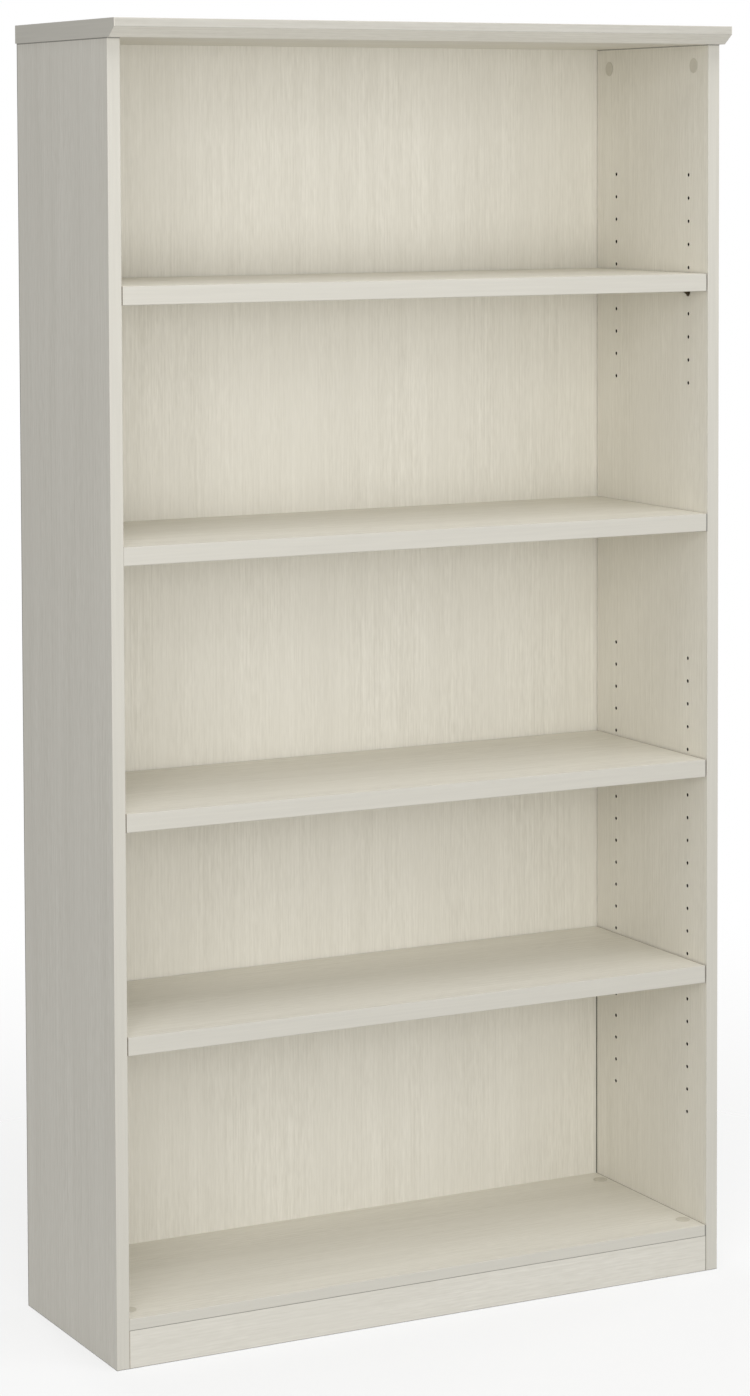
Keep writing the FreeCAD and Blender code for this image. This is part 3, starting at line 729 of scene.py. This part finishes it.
def cover_places(name):
    """Each cover's centre on its board's face, and the way that it faces out."""
    low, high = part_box(name)
    rows = (low.y + COVER_RADIUS, high.y - COVER_RADIUS)
    if name == "top_cam_covers":
        z = (low.z + high.z) / 2
        return [(Vector((side * INNER_X, y, z)), Vector((-side, 0.0, 0.0)))
                for side in (-1, 1) for y in rows]
    x = high.x - COVER_RADIUS
    facing_up = name == "bottom_cam_covers"
    z = high.z - COVER_THICK if facing_up else low.z + COVER_THICK
    out = Vector((0.0, 0.0, 1.0 if facing_up else -1.0))
    return [(Vector((side * x, y, z)), out) for side in (-1, 1) for y in rows]


class BOOKCASE_OT_cam_covers(bpy.types.Operator):
    """Push-on covers over the cams, slightly dished, with a shadow gap under the rim"""

    bl_idname = "bookcase.cam_covers"
    bl_label = "Cam covers"

    def execute(self, context):
        finish = context.scene.bookcase_fittings
        plastic = cover_plastic(finish.cover)
        for name in COVERS:
            whole = bmesh.new()
            for centre, out in cover_places(name):
                one = bmesh.new()
                turn = out.to_track_quat("Z", "Y").to_matrix().to_4x4()
                cam_cover(one, finish.cover_gap, Matrix.Translation(centre) @ turn)
                spare = bpy.data.meshes.new("cover")
                one.to_mesh(spare)
                one.free()
                whole.from_mesh(spare)
                bpy.data.meshes.remove(spare)
            mesh = bpy.data.meshes.new(name)
            whole.to_mesh(mesh)
            whole.free()
            smooth(mesh)
            new_piece(name + "_moulded", mesh, "carcass", plastic, "cam_cover", name)
        return {"FINISHED"}


# ---- studio

CAMERA_PLACE = Vector((-2.265, -4.353, 1.560))
CAMERA_YAW = math.radians(27.42)
CAMERA_PITCH = math.radians(3.42)
CAMERA_ROLL = math.radians(-0.20)
CAMERA_SHIFT = -0.2364
SENSOR = 36.0
FLOOR_SOLID_RADIUS = 0.7
FLOOR_RADIUS = 2.6
FLOOR_DROP = 0.0005
FLOOR_STEPS = 96
FLOOR_CLOUD = 0.8
FLOOR_DARK = 0.985
FLOOR_ROUGHNESS = (0.85, 0.75)

# each light's place, width and height, by the property that holds its power
LIGHTS = {
    "near_front": ((-0.5, -4.0, 1.2), 3.0, 1.6),
    "left_front": ((-2.6, -3.6, 2.0), 2.4, 2.4),
    "right_front": ((2.6, -3.6, 2.0), 2.4, 2.4),
    "overhead": ((0.0, -1.6, 4.6), 3.0, 2.0),
    "behind": ((0.0, 4.5, 2.2), 0.9, 2.0),
    "right_side": ((3.6, 0.9, 1.7), 1.4, 2.0),
}


def area_light(name, watts, place, width, height, aim):
    """A soft rectangular light that faces a point and is not seen itself."""
    data = bpy.data.lights.new(name, "AREA")
    data.energy = watts
    data.shape = "RECTANGLE"
    data.size = width
    data.size_y = height
    light = bpy.data.objects.new(name, data)
    light.location = place
    light.rotation_euler = (aim - Vector(place)).to_track_quat("-Z", "Y").to_euler()
    light.visible_camera = False
    bpy.context.collection.objects.link(light)


def white_world(strength):
    """Even light of the given strength, that the camera sees as plain white."""
    world = bpy.data.worlds.new("studio")
    bpy.context.scene.world = world
    world.use_nodes = True
    tree = world.node_tree
    background = tree.nodes["Background"]
    background.inputs["Color"].default_value = (1.0, 1.0, 1.0, 1.0)
    seen = node(tree, "ShaderNodeLightPath").outputs["Is Camera Ray"]
    brightness = math_node(tree, "MAXIMUM", seen, strength)
    tree.links.new(brightness, background.inputs["Strength"])


def floor_material(tint, cover):
    """Pale floor, very slightly uneven, that fades into the white around it."""
    made, tree, shader = new_material("floor")
    cloud = noise(tree, (FLOOR_CLOUD,) * 3, 3.0)
    feed(tree, shader["Base Color"], blend_colours(tree, cloud, [FLOOR_DARK * c for c in tint], tint))
    feed(tree, shader["Roughness"], spread(tree, cloud, *FLOOR_ROUGHNESS))
    measure = node(tree, "ShaderNodeVectorMath", {0: object_place(tree)}, operation="LENGTH")
    distance = measure.outputs["Value"]
    fade = node(tree, "ShaderNodeMapRange", {"Value": distance, "From Min": FLOOR_SOLID_RADIUS,
                                             "From Max": FLOOR_RADIUS, "To Min": cover, "To Max": 0.0},
                interpolation_type="SMOOTHSTEP").outputs[0]
    tree.links.new(fade, shader["Alpha"])
    return made


class BOOKCASE_OT_studio(bpy.types.Operator):
    """Pale floor, soft lights and the camera"""

    bl_idname = "bookcase.studio"
    bl_label = "Studio"

    def execute(self, context):
        setup = context.scene.bookcase_studio
        mesh = bpy.data.meshes.new("floor")
        form = bmesh.new()
        bmesh.ops.create_circle(form, cap_ends=True, segments=FLOOR_STEPS, radius=FLOOR_RADIUS,
                                matrix=Matrix.Translation((0.0, 0.0, -FLOOR_DROP)))
        form.to_mesh(mesh)
        form.free()
        floor = bpy.data.objects.new("floor", mesh)
        context.collection.objects.link(floor)
        mesh.materials.append(floor_material(setup.floor, setup.floor_cover))

        white_world(setup.sky)
        middle = (CAD_BOX[0] + CAD_BOX[1]) / 2
        for name, (place, width, height) in LIGHTS.items():
            area_light(name, getattr(setup, name), place, width, height, middle)

        data = bpy.data.cameras.new("camera")
        data.lens = setup.lens
        data.sensor_width = SENSOR
        data.shift_y = CAMERA_SHIFT
        camera = bpy.data.objects.new("camera", data)
        turn = (Matrix.Rotation(-CAMERA_YAW, 4, "Z") @ Matrix.Rotation(math.pi / 2 - CAMERA_PITCH, 4, "X")
                @ Matrix.Rotation(CAMERA_ROLL, 4, "Z"))
        camera.matrix_world = Matrix.Translation(CAMERA_PLACE) @ turn
        context.collection.objects.link(camera)
        context.scene.camera = camera
        context.scene.view_settings.view_transform = "Standard"
        return {"FINISHED"}


OPERATORS = (BOOKCASE_OT_studio, BOOKCASE_OT_sides, BOOKCASE_OT_back, BOOKCASE_OT_top, BOOKCASE_OT_shelves,
             BOOKCASE_OT_shelf_pins, BOOKCASE_OT_cam_covers, BOOKCASE_OT_hidden_fittings)


class BOOKCASE_PT_panel(bpy.types.Panel):
    """Every step of the bookcase's looks"""

    bl_idname = "BOOKCASE_PT_panel"
    bl_label = "Bookcase"
    bl_space_type = "VIEW_3D"
    bl_region_type = "UI"
    bl_category = "Bookcase"

    def draw(self, context):
        for operator in OPERATORS:
            self.layout.operator(operator.bl_idname)
        for group in (context.scene.bookcase_laminate, context.scene.bookcase_fittings,
                      context.scene.bookcase_studio):
            box = self.layout.box()
            for name in group.__annotations__:
                box.prop(group, name)


GROUPS = {
    "bookcase_laminate": LaminateFinish,
    "bookcase_fittings": FittingFinish,
    "bookcase_studio": StudioSetup,
}


def register():
    for kind in (*GROUPS.values(), *OPERATORS, BOOKCASE_PT_panel):
        bpy.utils.register_class(kind)
    for name, kind in GROUPS.items():
        setattr(bpy.types.Scene, name, bpy.props.PointerProperty(type=kind))


def unregister():
    for name in GROUPS:
        delattr(bpy.types.Scene, name)
    for kind in (BOOKCASE_PT_panel, *reversed(OPERATORS), *reversed(GROUPS.values())):
        bpy.utils.unregister_class(kind)


def main():
    register()
    for operator in OPERATORS:
        family, name = operator.bl_idname.split(".")
        getattr(getattr(bpy.ops, family), name)()


if __name__ == "__main__":
    main()
